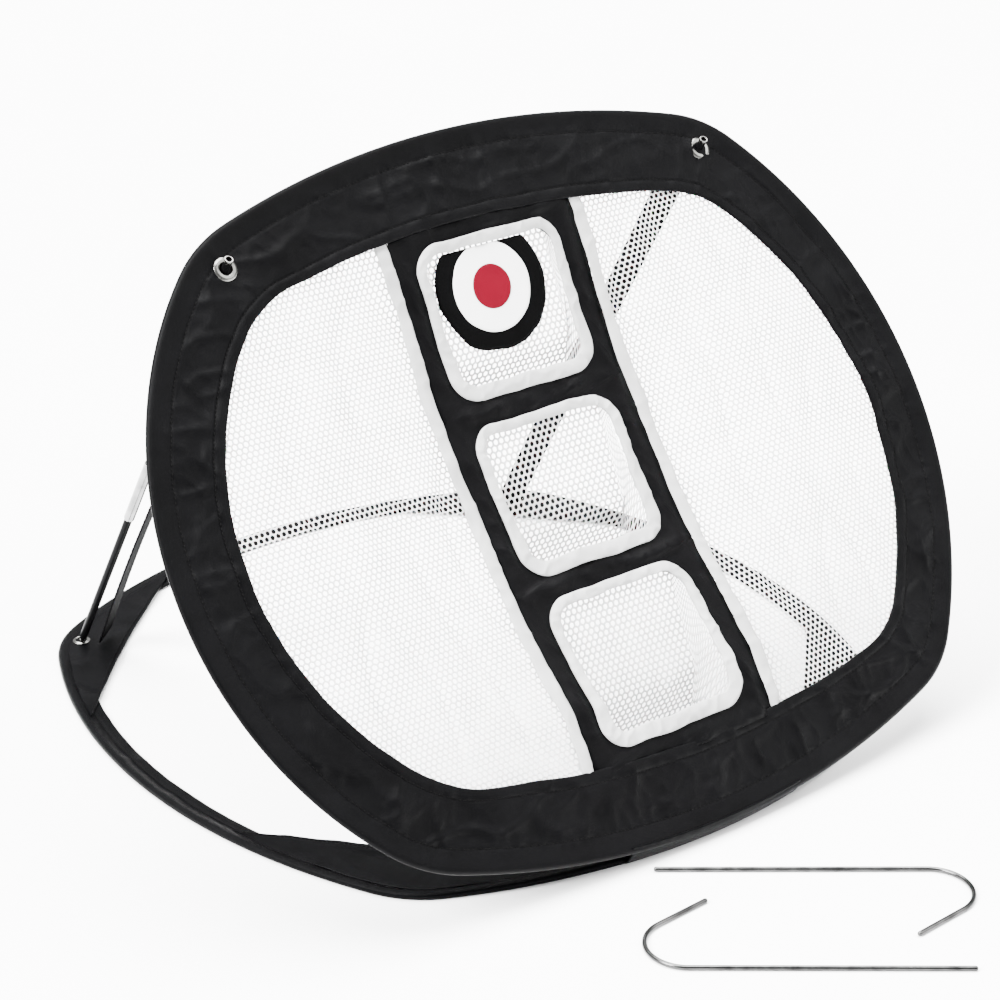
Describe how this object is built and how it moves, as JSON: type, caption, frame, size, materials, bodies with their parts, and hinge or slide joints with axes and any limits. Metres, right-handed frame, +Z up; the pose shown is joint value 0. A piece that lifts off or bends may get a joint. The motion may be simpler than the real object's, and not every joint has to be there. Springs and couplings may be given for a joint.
{
  "type": "golf chipping net",
  "caption": "Folding golf chipping net: a leaning oval panel with ball pockets and a target, hinged on a flat base hoop and propped by jointed poles, with wire ground pegs.",
  "frame": {"origin": "on the ground, under the middle of the base hoop's front edge", "axes": "+Z up, +Y from the golfer towards the back of the net, +X to the golfer's right"},
  "size_m": [0.6388, 0.8116, 0.4287],
  "materials": {
    "black_fabric": "woven polyester, slight sheen",
    "white_net": "knitted hexagonal net",
    "white_tape": "soft binding tape",
    "black_webbing": "flat webbing",
    "target_black": "satin printed cloth",
    "target_white": "satin printed cloth",
    "target_red": "satin printed cloth",
    "nickel": "plated",
    "chrome": "polished",
    "spring_steel": "drawn wire",
    "fibreglass": "pultruded rod",
    "elastic": "braided elastic"
  },
  "bodies": {
    "base": {"base_sleeve": "black_fabric", "base_hoop_wire": "spring_steel", "base_hoop_splice": "spring_steel", "hinge_tape": "black_fabric", "rear_gusset_left": "black_fabric", "rear_gusset_right": "black_fabric", "front_gusset_left": "black_fabric", "front_gusset_right": "black_fabric", "base_left_eyelet": "nickel", "base_left_washer": "nickel", "base_right_eyelet": "nickel", "base_right_washer": "nickel", "pole_tip_base_left": "nickel", "pole_tip_base_right": "nickel", "strap_left": "black_webbing", "strap_right": "black_webbing"},
    "front_panel": {"front_border": "black_fabric", "front_hoop_wire": "spring_steel", "front_hoop_splice": "spring_steel", "centre_strip": "black_fabric", "side_net_left": "white_net", "side_net_right": "white_net", "strip_tape_left": "white_tape", "strip_tape_right": "white_tape", "pocket_trim_upper": "white_tape", "pocket_trim_middle": "white_tape", "pocket_trim_lower": "white_tape", "pocket_net_upper": "white_net", "pocket_net_middle": "white_net", "pocket_net_lower": "white_net", "target_backing": "target_black", "target_ring": "target_white", "target_centre": "target_red", "front_left_eyelet": "nickel", "front_left_washer": "nickel", "front_right_eyelet": "nickel", "front_right_washer": "nickel", "pole_tip_front_left": "nickel", "pole_tip_front_right": "nickel"},
    "left_pole_lower": {"pole_left_lower": "fibreglass", "pole_left_ferrule": "chrome", "pole_left_cord_lower": "elastic"},
    "left_pole_upper": {"pole_left_upper": "fibreglass", "pole_left_cord_upper": "elastic"},
    "right_pole_lower": {"pole_right_lower": "fibreglass", "pole_right_ferrule": "chrome", "pole_right_cord_lower": "elastic"},
    "right_pole_upper": {"pole_right_upper": "fibreglass", "pole_right_cord_upper": "elastic"},
    "peg_1": {"ground_peg_1": "chrome"},
    "peg_2": {"ground_peg_2": "chrome"}
  },
  "joints": [
    {"name": "front_fold", "type": "hinge", "parent": "base", "child": "front_panel", "pos_m": [0, -0.009, 0.007], "axis": [-1, 0, 0], "range_deg": [0, 41], "deforming": ["strap_left", "strap_right"]},
    {"name": "left_pole_lower_fold", "type": "hinge", "parent": "base", "child": "left_pole_lower", "pos_m": [-0.2119, 0.5001, 0.00902], "axis": [0.9916, -0.1001, -0.0813], "range_deg": [0, 57.52]},
    {"name": "left_pole_upper_fold", "type": "hinge", "parent": "front_panel", "child": "left_pole_upper", "pos_m": [-0.20511, 0.27126, 0.37375], "axis": [-0.8337, -0.4746, -0.2823], "range_deg": [0, 65.75]},
    {"name": "right_pole_lower_fold", "type": "hinge", "parent": "base", "child": "right_pole_lower", "pos_m": [0.2119, 0.5001, 0.00902], "axis": [0.9916, 0.1001, 0.0813], "range_deg": [0, 57.52]},
    {"name": "right_pole_upper_fold", "type": "hinge", "parent": "front_panel", "child": "right_pole_upper", "pos_m": [0.20511, 0.27126, 0.37375], "axis": [-0.8337, 0.4746, 0.2823], "range_deg": [0, 65.75]},
    {"name": "peg_1_lift", "type": "slide", "parent": "base", "child": "peg_1", "axis": [0, 0, 1], "range_m": [0, 0.06]},
    {"name": "peg_2_lift", "type": "slide", "parent": "base", "child": "peg_2", "axis": [0, 0, 1], "range_m": [0, 0.06]}
  ],
  "couplings": [
    {"joint": "left_pole_lower_fold", "follows": "front_fold", "ratio": 1.4025},
    {"joint": "left_pole_upper_fold", "follows": "front_fold", "ratio": 1.6032},
    {"joint": "right_pole_lower_fold", "follows": "front_fold", "ratio": 1.4025},
    {"joint": "right_pole_upper_fold", "follows": "front_fold", "ratio": 1.6032}
  ]
}
